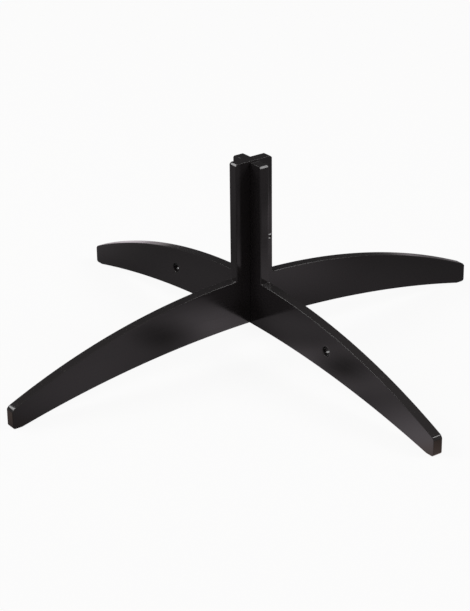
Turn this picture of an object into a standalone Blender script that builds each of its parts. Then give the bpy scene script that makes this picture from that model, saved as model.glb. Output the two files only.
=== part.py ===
"""Knock-down flute stand: two moulded plates that cross in a halving joint.

Each plate is one moulding, a long shallow arch with a tongue standing on its crown. The lower
plate is slotted from above, and the upper plate, slotted from below, slides down over it. The
two tongues then make the cross-shaped peg that takes the foot joint of a flute.

Metres, +Z up. The origin is on the floor under the peg. The upper plate runs along X and the
lower plate along Y. Profiles are drawn as (s, z): s is the distance out from the peg's axis.
"""

import math
from collections import namedtuple

import bmesh
import bpy
from mathutils import Matrix

# Sizes that both plates share
SPAN = 0.2200
PLATE_THICKNESS = 0.0041
PEG_WIDTH = 0.0172
PEG_CHAMFER = 0.0008
TOE_CHAMFER = 0.0007
FOOT_LENGTH = 0.0038
HEEL_RADIUS = 0.0010

# Rounding between the broad faces and the edge of the plate
PEG_ROUND = 0.0006
LEG_ROUND = 0.0002

# Heights above the floor on the lower plate: its tongue, the legs' top edge beside the tongue and
# at its end, and the underside of the arch. The upper plate has each of them a little higher.
PEG_HEIGHT = 0.0790
CROWN_HEIGHT = 0.0310
TOE_HEIGHT = 0.0072
ARCH_HEIGHT = 0.0121
UPPER_RAISE = 0.0005

# Halving joint: play on each side of the slots, and between the two slot ends
SLOT_PLAY = 0.0003
SEAT_GAP = 0.0003

# Holes through the lower plate's legs, centred in the depth of the leg
HOLE_DIAMETER = 0.0039
HOLE_REACH = 0.0490

# Small domed pip on the upper plate's tongue
PIP_DIAMETER = 0.0023
PIP_RISE = 0.0005
PIP_INSET = 0.0016
PIP_HEIGHT = 0.0465

# Faces along each curve
LEG_TOP_STEPS = 18
UNDERSIDE_STEPS = 18
HEEL_STEPS = 4
ROUND_STEPS = 32
EDGE_STEPS = 2
WELD = 1e-6

BLACK_PLASTIC = (0.012, 0.012, 0.013, 1.0)

Profile = namedtuple("Profile", "height crown toe arch")
LOWER = Profile(PEG_HEIGHT, CROWN_HEIGHT, TOE_HEIGHT, ARCH_HEIGHT)
UPPER = Profile(*(height + UPPER_RAISE for height in LOWER))


def clear_scene():
    for thing in list(bpy.data.objects):
        bpy.data.objects.remove(thing, do_unlink=True)


def arc_through(inner, outer):
    """Centre height and radius of the arc, centred on the peg's axis, through two profile points."""
    square_gap = inner[0] ** 2 + inner[1] ** 2 - outer[0] ** 2 - outer[1] ** 2
    centre = square_gap / (2 * (inner[1] - outer[1]))
    return centre, math.hypot(inner[0], inner[1] - centre)


def height_on(arc, s):
    centre, radius = arc
    return centre + math.sqrt(radius ** 2 - s ** 2)


def points_along(arc, start, end, steps):
    reach = [start + (end - start) * i / steps for i in range(steps + 1)]
    return [(s, height_on(arc, s)) for s in reach]


def leg_top_arc(profile):
    return arc_through((PEG_WIDTH / 2, profile.crown), (SPAN / 2, profile.toe))


def underside_arc(profile):
    return arc_through((0.0, profile.arch), (SPAN / 2 - FOOT_LENGTH, 0.0))


def slot_half_width():
    return PLATE_THICKNESS / 2 + SLOT_PLAY


def joint_level():
    """Height at which the two slots meet: each plate gives up half of the joint's height."""
    return (LOWER.arch + UPPER.height) / 2


def foot_points(toe_height):
    """Round the heel from the flat under the foot, up its end face, to the chamfer at the toe."""
    end = SPAN / 2
    heel = end - HEEL_RADIUS
    turns = [math.pi / 2 * i / HEEL_STEPS for i in range(HEEL_STEPS + 1)]
    points = [(heel + HEEL_RADIUS * math.sin(a), HEEL_RADIUS * (1 - math.cos(a))) for a in turns]
    points.append((end, toe_height - TOE_CHAMFER))
    return points


def side_points(profile, inner):
    """One half of a plate's outline, from the arch's underside at s = inner to the peg's top."""
    peg = PEG_WIDTH / 2
    foot_start = SPAN / 2 - FOOT_LENGTH
    points = points_along(underside_arc(profile), inner, foot_start, UNDERSIDE_STEPS)
    points += foot_points(profile.toe)
    points += points_along(leg_top_arc(profile), SPAN / 2 - TOE_CHAMFER, peg, LEG_TOP_STEPS)
    points.append((peg, profile.height - PEG_CHAMFER))
    points.append((peg - PEG_CHAMFER, profile.height))
    return points


def mirrored(points):
    return [(-s, z) for s, z in reversed(points)]


def outline_slotted_from_below():
    slot = slot_half_width()
    roof = joint_level() + SEAT_GAP / 2
    side = side_points(UPPER, slot)
    return side + mirrored(side) + [(-slot, roof), (slot, roof)]


def outline_slotted_from_above():
    slot = slot_half_width()
    floor = joint_level() - SEAT_GAP / 2
    side = side_points(LOWER, 0.0) + [(slot, LOWER.height), (slot, floor)]
    return side + mirrored(side[1:])


def share_rounding(shape):
    """All of the rounding for the tongue's upright edges, and the legs' part of it for the rest."""
    share = shape.edges.layers.float.new("bevel_weight_edge")
    for edge in shape.edges:
        first, second = (corner.co for corner in edge.verts)
        across = abs(first.y - second.y) > WELD
        upright = abs(first.x - second.x) < WELD
        on_tongue = min(first.z, second.z) > LOWER.crown - WELD and abs(first.x) > slot_half_width()
        if not across:
            edge[share] = 1.0 if upright and on_tongue else LEG_ROUND / PEG_ROUND


def plate_mesh(name, outline):
    """The outline as a plate of full thickness, standing in the XZ plane and centred on it."""
    shape = bmesh.new()
    corners = [shape.verts.new((s, -PLATE_THICKNESS / 2, z)) for s, z in outline]
    front = shape.faces.new(corners)
    grown = bmesh.ops.extrude_face_region(shape, geom=[front])["geom"]
    back = [part for part in grown if isinstance(part, bmesh.types.BMVert)]
    bmesh.ops.translate(shape, verts=back, vec=(0.0, PLATE_THICKNESS, 0.0))
    bmesh.ops.recalc_face_normals(shape, faces=shape.faces)
    share_rounding(shape)
    mesh = bpy.data.meshes.new(name)
    shape.to_mesh(mesh)
    shape.free()
    return mesh


def gloss_plastic(name):
    material = bpy.data.materials.new(name)
    material.use_nodes = True
    shader = material.node_tree.nodes["Principled BSDF"]
    shader.inputs["Base Color"].default_value = BLACK_PLASTIC
    shader.inputs["Roughness"].default_value = 0.12
    shader.inputs["Metallic"].default_value = 0.0
    material.diffuse_color = BLACK_PLASTIC
    return material


def add_plate(name, outline, turn):
    plate = bpy.data.objects.new(name, plate_mesh(name, outline))
    plate.data.materials.append(gloss_plastic(name + "_plastic"))
    plate.rotation_euler = (0.0, 0.0, turn)
    bpy.context.scene.collection.objects.link(plate)
    return plate


def add_tool(name, shape, plate):
    """A hidden shape in the plate's own axes, for a Boolean to use."""
    mesh = bpy.data.meshes.new(name)
    shape.to_mesh(mesh)
    shape.free()
    tool = bpy.data.objects.new(name, mesh)
    tool.parent = plate
    tool.hide_render = True
    tool.display_type = "WIRE"
    bpy.context.scene.collection.objects.link(tool)
    return tool


def combine(plate, tool, operation):
    step = plate.modifiers.new(tool.name, "BOOLEAN")
    step.object = tool
    step.operation = operation
    step.solver = "EXACT"


def lay_down(shape):
    """Turn a shape drawn about Z so that it lies along the plate's thickness."""
    bmesh.ops.rotate(shape, verts=shape.verts, matrix=Matrix.Rotation(math.pi / 2, 3, "X"))


def drill_leg(plate, name, s):
    """A hole through the lower plate at s, halfway between the leg's top and its underside."""
    top = height_on(leg_top_arc(LOWER), s)
    height = (top + height_on(underside_arc(LOWER), s)) / 2
    drill = bmesh.new()
    bmesh.ops.create_cone(
        drill,
        cap_ends=True,
        segments=ROUND_STEPS,
        radius1=HOLE_DIAMETER / 2,
        radius2=HOLE_DIAMETER / 2,
        depth=PLATE_THICKNESS * 2,
    )
    lay_down(drill)
    bmesh.ops.translate(drill, verts=drill.verts, vec=(s, 0.0, height))
    combine(plate, add_tool(name, drill, plate), "DIFFERENCE")


def raise_pip(plate):
    """The cap of a sphere, just showing through the tongue's front face near its edge."""
    radius = ((PIP_DIAMETER / 2) ** 2 + PIP_RISE ** 2) / (2 * PIP_RISE)
    centre_y = -PLATE_THICKNESS / 2 - PIP_RISE + radius
    ball = bmesh.new()
    bmesh.ops.create_uvsphere(ball, u_segments=ROUND_STEPS, v_segments=ROUND_STEPS, radius=radius)
    lay_down(ball)
    bmesh.ops.translate(ball, verts=ball.verts, vec=(PEG_WIDTH / 2 - PIP_INSET, centre_y, PIP_HEIGHT))
    combine(plate, add_tool("pip_ball", ball, plate), "UNION")


def round_edges(plate):
    bevel = plate.modifiers.new("edge_round", "BEVEL")
    bevel.width = PEG_ROUND
    bevel.segments = EDGE_STEPS
    bevel.limit_method = "WEIGHT"
    plate.data.shade_smooth()
    plate.data.set_sharp_from_angle(angle=math.radians(30))


def build_lower_plate():
    plate = add_plate("lower_plate", outline_slotted_from_above(), math.pi / 2)
    round_edges(plate)
    drill_leg(plate, "back_hole_drill", HOLE_REACH)
    drill_leg(plate, "front_hole_drill", -HOLE_REACH)


def build_upper_plate():
    plate = add_plate("upper_plate", outline_slotted_from_below(), 0.0)
    round_edges(plate)
    raise_pip(plate)


clear_scene()
build_lower_plate()
build_upper_plate()
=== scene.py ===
import math
from collections import namedtuple

import bmesh
import bpy
from mathutils import Matrix, Vector


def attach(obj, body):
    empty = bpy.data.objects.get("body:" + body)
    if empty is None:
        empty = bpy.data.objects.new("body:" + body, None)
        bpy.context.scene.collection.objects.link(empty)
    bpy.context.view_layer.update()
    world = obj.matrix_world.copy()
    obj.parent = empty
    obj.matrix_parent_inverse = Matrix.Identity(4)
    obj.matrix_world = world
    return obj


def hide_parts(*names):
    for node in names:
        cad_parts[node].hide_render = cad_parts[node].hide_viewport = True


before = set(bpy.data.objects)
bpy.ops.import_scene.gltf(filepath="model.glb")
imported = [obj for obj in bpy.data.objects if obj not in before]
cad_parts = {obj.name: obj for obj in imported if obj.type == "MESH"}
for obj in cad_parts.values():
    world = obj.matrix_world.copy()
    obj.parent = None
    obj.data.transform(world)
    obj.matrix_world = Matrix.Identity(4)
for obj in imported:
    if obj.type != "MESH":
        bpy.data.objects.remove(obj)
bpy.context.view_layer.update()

# Lower plate. One injection moulding in polished black plastic: a long shallow arch that makes
# two legs, and a tongue on its crown. It stands along Y, is slotted from above, and carries a
# small round hole in each leg. It has no other part: the legs' ends are its feet.
SPAN = 0.2200
THICKNESS = 0.0041
PEG_WIDTH = 0.0172
PEG_CHAMFER = 0.0008
TOE_CHAMFER = 0.0007
FOOT_LENGTH = 0.0038
HEEL_RADIUS = 0.0010
EDGE_ROUND = 0.0006
EDGE_RING = 0.00078
LEG_ROUND = 0.0002
RIM_ROUND = 0.0002
TOP_ROUND = 0.00006
SLOT_ROUND = 0.00005
SLOT_PLAY = 0.00003
SEAT_GAP = 0.0003
HOLE_RADIUS = 0.00195
HOLE_REACH = 0.0490
ARC_STEPS = 72
HEEL_STEPS = 8
HOLE_STEPS = 48
BEVEL_STEPS = 4
SHARP_TURN = math.radians(30)
WELD = 1e-6

# Its finish. Noise is given in lumps per metre, and each span is the noise over which a flaw comes in.
BLACK = (0.0175, 0.0158, 0.0168, 1.0)
PLASTIC_IOR = 1.5
HAZE_LUMPS = 45.0
HAZE_SPAN = (0.35, 0.70)
HAZE_ROUGHNESS = (0.10, 0.17)
HAIRLINE_STRETCH = (18.0, 1100.0, 1.0)
HAIRLINE_SPAN = (0.52, 0.78)
HAIRLINE_ROUGHNESS = 0.10
DUST = (0.30, 0.29, 0.27, 1.0)
DUST_LUMPS = 1500.0
DUST_SPAN = (0.70, 0.76)
UPWARD_SPAN = (0.2, 0.9)
DUST_ON_SIDES = 0.02
DUST_ON_TOP = 0.14
RIPPLE_LUMPS = 140.0
RIPPLE_DEPTH = 0.000012

# Heights above the floor: the tongue's top, the leg's top edge beside the peg and at its end, the
# arch's underside, and the top of the end face. The upper plate is half a millimetre higher, and a
# little more at the end face.
Profile = namedtuple("Profile", "height crown toe arch end")
LOWER = Profile(0.0790, 0.0310, 0.0072, 0.0121, 0.0065)
UPPER = Profile(0.0795, 0.0315, 0.0077, 0.0126, 0.00708)


def arc_over_peg(inner, outer):
    """Centre height and radius of the arc, centred over the peg's axis, through two points (s, z)."""
    gap = inner[0] ** 2 + inner[1] ** 2 - outer[0] ** 2 - outer[1] ** 2
    centre = gap / (2 * (inner[1] - outer[1]))
    return centre, math.hypot(inner[0], inner[1] - centre)


def height_at(arc, s):
    return arc[0] + math.sqrt(arc[1] ** 2 - s ** 2)


def angle_at(arc, s):
    return math.asin(s / arc[1])


def leg_top(profile):
    return arc_over_peg((PEG_WIDTH / 2, profile.crown), (SPAN / 2, profile.toe))


def underside(profile):
    return arc_over_peg((0.0, profile.arch), (SPAN / 2 - FOOT_LENGTH, 0.0))


slot_half = THICKNESS / 2 + SLOT_PLAY
joint_level = (LOWER.arch + UPPER.height) / 2


def line_to(shape, last, s, z):
    corner = shape.verts.new((s, 0.0, z))
    shape.edges.new((last, corner))
    return corner


def sweep_to(shape, last, centre, angle, steps):
    """Swings the last point about a centre (s, z) in the plate's plane, and leaves an arc behind."""
    swept = bmesh.ops.spin(
        shape,
        geom=[last],
        cent=(centre[0], 0.0, centre[1]),
        axis=(0.0, 1.0, 0.0),
        angle=angle,
        steps=steps,
    )
    return next(part for part in swept["geom_last"] if isinstance(part, bmesh.types.BMVert))


def follow_arc(shape, last, arc, start, end):
    """Continues the outline along one of the long arcs, from s = start to s = end."""
    turn = angle_at(arc, end) - angle_at(arc, start)
    return sweep_to(shape, last, (0.0, arc[0]), turn, ARC_STEPS)


def draw_leg(shape, last, profile, start):
    """From the arch's underside at s = start, round the foot and over the leg, to the peg's top."""
    toe = SPAN / 2 - TOE_CHAMFER
    heel = SPAN / 2 - HEEL_RADIUS
    last = follow_arc(shape, last, underside(profile), start, SPAN / 2 - FOOT_LENGTH)
    last = line_to(shape, last, heel, 0.0)
    last = sweep_to(shape, last, (heel, HEEL_RADIUS), -math.pi / 2, HEEL_STEPS)
    last = line_to(shape, last, SPAN / 2, profile.end)
    last = line_to(shape, last, toe, height_at(leg_top(profile), toe))
    last = follow_arc(shape, last, leg_top(profile), toe, PEG_WIDTH / 2)
    last = line_to(shape, last, PEG_WIDTH / 2, profile.height - PEG_CHAMFER)
    return line_to(shape, last, PEG_WIDTH / 2 - PEG_CHAMFER, profile.height)


def plate_from_outline(shape, holes=()):
    """Mirrors the half outline, fills it round the holes, and gives it its thickness.

    A ring of narrow faces along every edge then keeps the rounding off the broad faces."""
    bmesh.ops.mirror(shape, geom=shape.verts[:] + shape.edges[:], axis="X", merge_dist=WELD)
    for s, z, radius in holes:
        place = Matrix.Translation((s, 0.0, z)) @ Matrix.Rotation(math.pi / 2, 4, "X")
        bmesh.ops.create_circle(shape, segments=HOLE_STEPS, radius=radius, matrix=place)
    bmesh.ops.remove_doubles(shape, verts=shape.verts, dist=WELD)
    bmesh.ops.triangle_fill(shape, edges=shape.edges, use_beauty=True, normal=(0.0, -1.0, 0.0))
    bmesh.ops.inset_region(
        shape, faces=shape.faces, thickness=EDGE_RING, use_boundary=True, use_even_offset=True
    )
    grown = bmesh.ops.extrude_face_region(shape, geom=shape.faces[:])["geom"]
    back = [part for part in grown if isinstance(part, bmesh.types.BMVert)]
    bmesh.ops.translate(shape, verts=back, vec=(0.0, THICKNESS, 0.0))
    bmesh.ops.translate(shape, verts=shape.verts, vec=(0.0, -THICKNESS / 2, 0.0))
    for level in (EDGE_RING - THICKNESS / 2, THICKNESS / 2 - EDGE_RING):
        everything = shape.verts[:] + shape.edges[:] + shape.faces[:]
        bmesh.ops.bisect_plane(shape, geom=everything, plane_co=(0.0, level, 0.0), plane_no=(0.0, 1.0, 0.0))
    bmesh.ops.recalc_face_normals(shape, faces=shape.faces)
    mark_rounding(shape, holes)


def mark_rounding(shape, holes):
    """Shares out the rounding: all of it up the tongue, less elsewhere, and none in a hollow."""
    share = shape.edges.layers.float.new("bevel_weight_edge")
    for edge in shape.edges:
        middle = (edge.verts[0].co + edge.verts[1].co) / 2
        along = edge.verts[0].co - edge.verts[1].co
        upright = abs(along.x) + abs(along.y) < WELD
        in_slot = abs(middle.x) < slot_half + WELD
        on_rim = any(math.hypot(middle.x - s, middle.z - z) < radius + WELD for s, z, radius in holes)
        if edge.calc_face_angle_signed(0.0) < SHARP_TURN:
            edge[share] = 0.0
            edge.smooth = edge.calc_face_angle_signed(0.0) > -SHARP_TURN
        elif upright and in_slot:
            edge[share] = SLOT_ROUND / EDGE_ROUND
        elif upright and middle.z > LOWER.crown:
            edge[share] = 1.0
        elif middle.z > LOWER.height - WELD and abs(along.x) > WELD:
            edge[share] = TOP_ROUND / EDGE_ROUND
        elif on_rim:
            edge[share] = RIM_ROUND / EDGE_ROUND
        else:
            edge[share] = LEG_ROUND / EDGE_ROUND


def map_profile(shape):
    """A UV map of the plate seen from its front, which the hairlines along it follow."""
    profile_map = shape.loops.layers.uv.new("profile")
    for face in shape.faces:
        for corner in face.loops:
            corner[profile_map].uv = corner.vert.co.xz


def finish_plate(name, shape, turn, finish):
    """Stands the plate in its place, rounds its edges, and gives it its finish."""
    map_profile(shape)
    bmesh.ops.rotate(shape, verts=shape.verts, matrix=Matrix.Rotation(turn, 3, "Z"))
    mesh = bpy.data.meshes.new(name)
    shape.to_mesh(mesh)
    shape.free()
    mesh.shade_smooth()
    plate = bpy.data.objects.new(name, mesh)
    bpy.context.scene.collection.objects.link(plate)
    rounding = plate.modifiers.new("edge_rounding", "BEVEL")
    rounding.width = EDGE_ROUND
    rounding.segments = BEVEL_STEPS
    rounding.limit_method = "WEIGHT"
    levelling = plate.modifiers.new("flat_faces", "WEIGHTED_NORMAL")
    levelling.weight = 100
    levelling.keep_sharp = True
    mesh.materials.append(finish)
    return plate


def node(tree, kind, **settings):
    made = tree.nodes.new(kind)
    for key, value in settings.items():
        setattr(made, key, value)
    return made


def connect(tree, source, socket):
    """Links another node's output to a socket, or sets the socket to a plain value."""
    if isinstance(source, bpy.types.NodeSocket):
        tree.links.new(source, socket)
    else:
        socket.default_value = source


def calculate(tree, operation, *values):
    result = node(tree, "ShaderNodeMath", operation=operation)
    for value, socket in zip(values, result.inputs):
        connect(tree, value, socket)
    return result.outputs["Value"]


def mix_colours(tree, share, first, second):
    """The first colour where the share is 0, and the second where it is 1."""
    mix = node(tree, "ShaderNodeMix", data_type="RGBA")
    connect(tree, share, mix.inputs["Factor"])
    connect(tree, first, mix.inputs["A"])
    connect(tree, second, mix.inputs["B"])
    return mix.outputs["Result"]


def noise(tree, coords, lumps, detail, stretch=(1.0, 1.0, 1.0)):
    """Noise in lumps per metre, squeezed along the axes by stretch."""
    mapping = node(tree, "ShaderNodeMapping")
    pattern = node(tree, "ShaderNodeTexNoise")
    connect(tree, coords, mapping.inputs["Vector"])
    connect(tree, stretch, mapping.inputs["Scale"])
    connect(tree, mapping.outputs["Vector"], pattern.inputs["Vector"])
    connect(tree, lumps, pattern.inputs["Scale"])
    connect(tree, detail, pattern.inputs["Detail"])
    return pattern.outputs["Fac"]


def remap(tree, value, low, high, to_low, to_high):
    """Turns the span from low to high into to_low to to_high, and holds those beyond it."""
    span = node(tree, "ShaderNodeMapRange")
    connect(tree, value, span.inputs["Value"])
    for socket, number in zip(("From Min", "From Max", "To Min", "To Max"), (low, high, to_low, to_high)):
        connect(tree, number, span.inputs[socket])
    return span.outputs["Result"]


def polished_black():
    """Black plastic as it leaves a polished mould, with the haze, hairlines and dust of handling."""
    material = bpy.data.materials.new("polished_black_plastic")
    material.use_nodes = True
    tree = material.node_tree
    shader = tree.nodes["Principled BSDF"]
    shader.inputs["IOR"].default_value = PLASTIC_IOR
    coords = node(tree, "ShaderNodeTexCoord").outputs["Object"]
    profile = node(tree, "ShaderNodeUVMap", uv_map="profile").outputs["UV"]

    haze = remap(tree, noise(tree, coords, HAZE_LUMPS, 4.0), *HAZE_SPAN, *HAZE_ROUGHNESS)
    streaks = noise(tree, profile, 1.0, 5.0, HAIRLINE_STRETCH)
    hairlines = remap(tree, streaks, *HAIRLINE_SPAN, 0.0, HAIRLINE_ROUGHNESS)
    connect(tree, calculate(tree, "ADD", haze, hairlines), shader.inputs["Roughness"])

    facing = node(tree, "ShaderNodeSeparateXYZ")
    connect(tree, node(tree, "ShaderNodeNewGeometry").outputs["Normal"], facing.inputs["Vector"])
    most = remap(tree, facing.outputs["Z"], *UPWARD_SPAN, DUST_ON_SIDES, DUST_ON_TOP)
    specks = remap(tree, noise(tree, coords, DUST_LUMPS, 1.0), *DUST_SPAN, 0.0, 1.0)
    colour = mix_colours(tree, calculate(tree, "MULTIPLY", specks, most), BLACK, DUST)
    connect(tree, colour, shader.inputs["Base Color"])

    relief = node(tree, "ShaderNodeBump")
    relief.inputs["Strength"].default_value = 1.0
    relief.inputs["Distance"].default_value = RIPPLE_DEPTH
    connect(tree, noise(tree, coords, RIPPLE_LUMPS, 2.0), relief.inputs["Height"])
    connect(tree, relief.outputs["Normal"], shader.inputs["Normal"])
    return material


lower_shape = bmesh.new()
bottom = lower_shape.verts.new((0.0, 0.0, LOWER.arch))
peg_top = draw_leg(lower_shape, bottom, LOWER, 0.0)
slot_top = line_to(lower_shape, peg_top, slot_half, LOWER.height)
slot_foot = line_to(lower_shape, slot_top, slot_half, joint_level - SEAT_GAP / 2)
line_to(lower_shape, slot_foot, 0.0, joint_level - SEAT_GAP / 2)
above_hole = height_at(leg_top(LOWER), HOLE_REACH)
hole_height = (above_hole + height_at(underside(LOWER), HOLE_REACH)) / 2
plate_from_outline(lower_shape, [(s, hole_height, HOLE_RADIUS) for s in (-HOLE_REACH, HOLE_REACH)])
black_plastic = polished_black()
lower_plate = finish_plate("polished_lower_plate", lower_shape, math.pi / 2, black_plastic)
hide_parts("lower_plate")
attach(lower_plate, "lower_plate")

# Upper plate. A second moulding with the same outline in the same plastic. It stands along X, is
# slotted from below, and slides down over the lower plate until the two slots meet.
upper_shape = bmesh.new()
slot_roof = upper_shape.verts.new((0.0, 0.0, joint_level + SEAT_GAP / 2))
slot_corner = line_to(upper_shape, slot_roof, slot_half, joint_level + SEAT_GAP / 2)
slot_mouth = line_to(upper_shape, slot_corner, slot_half, height_at(underside(UPPER), slot_half))
peg_top = draw_leg(upper_shape, slot_mouth, UPPER, slot_half)
line_to(upper_shape, peg_top, 0.0, UPPER.height)
plate_from_outline(upper_shape)
upper_plate = finish_plate("polished_upper_plate", upper_shape, 0.0, black_plastic)
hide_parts("upper_plate")
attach(upper_plate, "upper_plate")

# Pip. A low square boss moulded on the front of the upper plate's tongue, close to its edge, in the
# same plastic. Its sides slope and its middle is dished, so light glints from it in two places.
PIP_RADIUS = 0.00115
PIP_INSET = 0.0016
PIP_HEIGHT = 0.0465
PIP_SINK = 0.0003
PIP_RISE = 0.00038
PIP_RIM = 0.00072
PIP_DISH = 0.00032
PIP_DISH_RISE = 0.00002
PIP_ROUND = 0.00006
PIP_SIDES = 4
# Half of its section as (radius, rise from the tongue's face), from the sunk base to the dish
PIP_SECTION = (
    (0.0, -PIP_SINK),
    (PIP_RADIUS, -PIP_SINK),
    (PIP_RADIUS, 0.0),
    (PIP_RIM, PIP_RISE),
    (PIP_DISH, PIP_DISH_RISE),
    (0.0, PIP_DISH_RISE),
)
pip_centre = Vector((PEG_WIDTH / 2 - PIP_INSET, -THICKNESS / 2, PIP_HEIGHT))
pip_shape = bmesh.new()
section = [pip_shape.verts.new(pip_centre + Vector((out, -rise, out))) for out, rise in PIP_SECTION]
for inner, outer in zip(section, section[1:]):
    pip_shape.edges.new((inner, outer))
bmesh.ops.spin(
    pip_shape,
    geom=[*pip_shape.verts, *pip_shape.edges],
    cent=pip_centre,
    axis=(0.0, 1.0, 0.0),
    angle=2 * math.pi,
    steps=PIP_SIDES,
    use_merge=True,
)
bmesh.ops.remove_doubles(pip_shape, verts=pip_shape.verts, dist=WELD)
bmesh.ops.recalc_face_normals(pip_shape, faces=pip_shape.faces)
map_profile(pip_shape)
pip_mesh = bpy.data.meshes.new("pip")
pip_shape.to_mesh(pip_mesh)
pip_shape.free()
pip_mesh.materials.append(black_plastic)
pip = bpy.data.objects.new("pip", pip_mesh)
bpy.context.scene.collection.objects.link(pip)
pip_edges = pip.modifiers.new("edges", "BEVEL")
pip_edges.width = PIP_ROUND
pip_edges.segments = BEVEL_STEPS
pip_edges.limit_method = "ANGLE"
pip_edges.angle_limit = SHARP_TURN
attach(pip, "upper_plate")

# Floor. A plain pale sheet far larger than the view. The camera sees it nearly white, with only a
# trace of the stand's shadow. It is dark in the light that it throws back, and reflections see painted
# light and painted shade on it in soft round patches: pools of light, shadows and warm tints.
FLOOR_SIZE = 6.0
FLOOR_ROUGHNESS = 0.8
FLOOR_COLOUR = (0.11, 0.11, 0.11, 1.0)
FLOOR_SEEN_BY_CAMERA = (0.80, 0.80, 0.80, 1.0)
WHITE_SEEN_BY_CAMERA = 0.92
WHITE_SEEN_IN_REFLECTIONS = 0.60
TONE_SEEN_BY_CAMERA = (1.0, 1.0, 1.0, 1.0)
TONE_SEEN_IN_REFLECTIONS = (1.0, 0.90, 0.96, 1.0)
PAINTED_WARM_REFLECTION_TONE = (1.0, 0.68, 0.55, 1.0)
# Painted warm reflections, where the floor that reflections see turns warm beside the two front feet:
# place, radius and strength
PAINTED_WARM_REFLECTION_PATCHES = (
    ((0.005, -0.120, 0.0), 0.030, 1.0),
    ((-0.120, 0.005, 0.0), 0.030, 1.0),
)
# Painted light and painted shade on the floor, which only reflections see: where each patch lies, its
# radius, and what it adds or takes away. The bright patches are painted pools of light. The dark ones
# are painted shade over the middle of the floor round the stand, and the tongue's painted shadow in
# front of it. They stand in for a studio that isn't known. Their strengths were fitted to the
# brightness of the legs from the camera's place, then changed and rounded.
PAINTED_LIGHT_AND_SHADE_PATCHES = (
    ((0.040, 0.020, 0.0), 0.800, -0.60),
    ((-0.010, -0.100, 0.0), 0.040, 0.95),
    ((0.005, -0.025, 0.0), 0.040, 0.80),
    ((-0.030, -0.045, 0.0), 0.060, 0.40),
    ((-0.020, -0.035, 0.0), 0.020, -0.50),
    ((-0.075, -0.015, 0.0), 0.050, 0.40),
    ((-0.030, 0.010, 0.0), 0.025, 0.20),
    ((0.060, -0.025, 0.0), 0.070, 0.20),
    ((0.050, -0.070, 0.0), 0.050, 0.40),
    ((-0.020, 0.060, 0.0), 0.060, 0.10),
    ((0.110, 0.050, 0.0), 0.090, 0.20),
    ((0.060, 0.230, 0.0), 0.160, 1.60),
    ((0.075, -0.080, 0.0), 0.020, 0.50),
    ((0.100, -0.105, 0.0), 0.035, 0.85),
    ((0.160, -0.045, 0.0), 0.050, 0.90),
    ((-0.115, 0.010, 0.0), 0.015, 0.20),
)


def painted_patch_on_floor(tree, coords, centre, radius, peak):
    """A round painted patch on the floor, of light, shade or warm tint as its peak sets, that fades from
    its peak at the centre to nothing at the radius.
    """
    placed = node(tree, "ShaderNodeMapping")
    inward = node(tree, "ShaderNodeTexGradient", gradient_type="SPHERICAL")
    fade = node(tree, "ShaderNodeMapRange", interpolation_type="SMOOTHSTEP")
    connect(tree, coords, placed.inputs["Vector"])
    connect(tree, [1 / radius] * 3, placed.inputs["Scale"])
    connect(tree, [-c / radius for c in centre], placed.inputs["Location"])
    connect(tree, placed.outputs["Vector"], inward.inputs["Vector"])
    connect(tree, inward.outputs["Fac"], fade.inputs["Value"])
    connect(tree, peak, fade.inputs["To Max"])
    return fade.outputs["Result"]


def sum_of_patches(tree, coords, patches, start):
    """All the patches together, over an even tone to start with."""
    total = start
    for patch in patches:
        total = calculate(tree, "ADD", total, painted_patch_on_floor(tree, coords, *patch))
    return total


def share_by_ray(tree, by_camera, in_reflections):
    """One share for what the camera sees, another for what metal and glass show, and else none."""
    path = node(tree, "ShaderNodeLightPath").outputs
    mirrored = calculate(tree, "MAXIMUM", path["Is Glossy Ray"], path["Is Transmission Ray"])
    reflected = calculate(tree, "MULTIPLY", mirrored, in_reflections)
    return calculate(tree, "MULTIPLY_ADD", path["Is Camera Ray"], by_camera, reflected)


floor_shape = bmesh.new()
bmesh.ops.create_grid(floor_shape, x_segments=1, y_segments=1, size=FLOOR_SIZE / 2)
floor_mesh = bpy.data.meshes.new("floor")
floor_shape.to_mesh(floor_mesh)
floor_shape.free()
floor = bpy.data.objects.new("floor", floor_mesh)
bpy.context.scene.collection.objects.link(floor)
pale = bpy.data.materials.new("pale_floor")
pale.use_nodes = True
pale_tree = pale.node_tree
floor_coords = node(pale_tree, "ShaderNodeTexCoord").outputs["Object"]
by_camera = node(pale_tree, "ShaderNodeLightPath").outputs["Is Camera Ray"]

sheet = pale_tree.nodes["Principled BSDF"]
sheet.inputs["Roughness"].default_value = FLOOR_ROUGHNESS
sheet.inputs["Specular IOR Level"].default_value = 0.0
sheet_colour = mix_colours(pale_tree, by_camera, FLOOR_COLOUR, FLOOR_SEEN_BY_CAMERA)
connect(pale_tree, sheet_colour, sheet.inputs["Base Color"])

# Painted warm tint on the white that reflections see, beside the two front feet
painted_warmth = sum_of_patches(pale_tree, floor_coords, PAINTED_WARM_REFLECTION_PATCHES, 0.0)
mirrored_tone_with_painted_warmth = mix_colours(pale_tree, painted_warmth, TONE_SEEN_IN_REFLECTIONS, PAINTED_WARM_REFLECTION_TONE)
white = node(pale_tree, "ShaderNodeEmission")
white.inputs["Strength"].default_value = 1.0
white_tone = mix_colours(pale_tree, by_camera, mirrored_tone_with_painted_warmth, TONE_SEEN_BY_CAMERA)
connect(pale_tree, white_tone, white.inputs["Color"])

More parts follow.
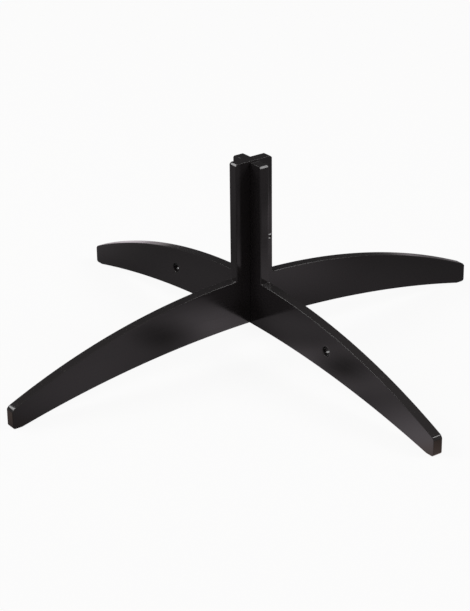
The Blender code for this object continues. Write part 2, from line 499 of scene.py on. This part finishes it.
# An even white for reflections, with the patches' painted pools of light and painted shade on it
mirrored_white_and_painted_light = sum_of_patches(pale_tree, floor_coords, PAINTED_LIGHT_AND_SHADE_PATCHES, WHITE_SEEN_IN_REFLECTIONS)
blend = node(pale_tree, "ShaderNodeMixShader")
connect(pale_tree, share_by_ray(pale_tree, WHITE_SEEN_BY_CAMERA, mirrored_white_and_painted_light), blend.inputs["Fac"])
connect(pale_tree, sheet.outputs["BSDF"], blend.inputs[1])
connect(pale_tree, white.outputs["Emission"], blend.inputs[2])
connect(pale_tree, blend.outputs["Shader"], pale_tree.nodes["Material Output"].inputs["Surface"])
floor_mesh.materials.append(pale)


# Studio light. Two softboxes, behind on the left and in front on the right, draw the bright lines
# on the edges. The room around them is dim, and its backdrop is pale for the camera.
SOFTBOX_RADIANCE = 6.0
LIT_POINT = (0.0, 0.0, 0.03)
ROOM_TONE = (1.0, 0.92, 0.89, 1.0)
# The room's glow along a direction of view: the span along one axis, and the glow at its two ends
HORIZON_GLOW = (-0.03, 0.04, 1.0, 0.0)
BEHIND_GLOW = (0.70, 0.90, 0.5, 1.2)
OVERHEAD_GLOW = (0.50, 0.80, 0.0, 0.20)
FRONT_GLOW = (-0.9, -0.1, 0.40, 0.0)
LEFT_GLOW = (-0.9, -0.1, 0.35, 0.0)
BACKDROP_STRENGTH = 0.96
BACKDROP_IN_REFLECTIONS = 0.05


def aim(thing, position, target):
    """Puts a lamp in place with its beam, down its own -Z, towards the target."""
    away = Vector(position) - Vector(target)
    thing.location = position
    thing.rotation_mode = "QUATERNION"
    thing.rotation_quaternion = away.to_track_quat("Z", "Y")
    bpy.context.scene.collection.objects.link(thing)


def softbox(name, position, width, height):
    """A flat soft lamp that faces the stand. Its power follows its size, so all are as bright."""
    lamp = bpy.data.lights.new(name, "AREA")
    lamp.shape = "RECTANGLE"
    lamp.size = width
    lamp.size_y = height
    lamp.energy = SOFTBOX_RADIANCE * math.pi * width * height
    aim(bpy.data.objects.new(name, lamp), position, LIT_POINT)


softbox("softbox_back_left", position=(-0.72, 0.70, 0.86), width=0.98, height=0.44)
softbox("softbox_front_right", position=(0.68, -0.56, 0.82), width=0.54, height=0.54)

world = bpy.data.worlds.new("studio")
world.use_nodes = True
bpy.context.scene.world = world
sky = world.node_tree
heading = node(sky, "ShaderNodeSeparateXYZ")
connect(sky, node(sky, "ShaderNodeTexCoord").outputs["Generated"], heading.inputs["Vector"])
horizon = remap(sky, heading.outputs["Z"], *HORIZON_GLOW)
behind = remap(sky, heading.outputs["Y"], *BEHIND_GLOW)
glow = calculate(sky, "MULTIPLY", horizon, behind)
glow = calculate(sky, "ADD", glow, remap(sky, heading.outputs["Z"], *OVERHEAD_GLOW))
glow = calculate(sky, "ADD", glow, remap(sky, heading.outputs["Y"], *FRONT_GLOW))
glow = calculate(sky, "ADD", glow, remap(sky, heading.outputs["X"], *LEFT_GLOW))
room = sky.nodes["Background"]
room.inputs["Color"].default_value = ROOM_TONE
connect(sky, glow, room.inputs["Strength"])

pale_backdrop = node(sky, "ShaderNodeBackground")
pale_backdrop.inputs["Color"].default_value = TONE_SEEN_BY_CAMERA
pale_backdrop.inputs["Strength"].default_value = BACKDROP_STRENGTH
sky_blend = node(sky, "ShaderNodeMixShader")
connect(sky, share_by_ray(sky, 1.0, BACKDROP_IN_REFLECTIONS), sky_blend.inputs["Fac"])
connect(sky, room.outputs["Background"], sky_blend.inputs[1])
connect(sky, pale_backdrop.outputs["Background"], sky_blend.inputs[2])
connect(sky, sky_blend.outputs["Shader"], sky.nodes["World Output"].inputs["Surface"])

# Camera. Above and in front of the stand on its left, at the photograph's angle, with a long lens.
# Its place, turn and tilt were fitted to the outline of the stand in the photograph.
EYE = (-0.42565, -0.57545, 0.34731)
AZIMUTH = math.radians(-35.9645)
ELEVATION = math.radians(24.6738)
ROLL = math.radians(-0.6239)
LENS = 118.81
camera_data = bpy.data.cameras.new("camera")
camera_data.lens = LENS
camera = bpy.data.objects.new("camera", camera_data)
level = math.cos(ELEVATION)
back = Vector((math.sin(AZIMUTH) * level, -math.cos(AZIMUTH) * level, math.sin(ELEVATION)))
upright_view = back.to_track_quat("Z", "Y").to_matrix().to_4x4()
camera.matrix_world = Matrix.Translation(EYE) @ upright_view @ Matrix.Rotation(ROLL, 4, "Z")
bpy.context.scene.collection.objects.link(camera)
bpy.context.scene.camera = camera
bpy.context.scene.view_settings.view_transform = "Standard"
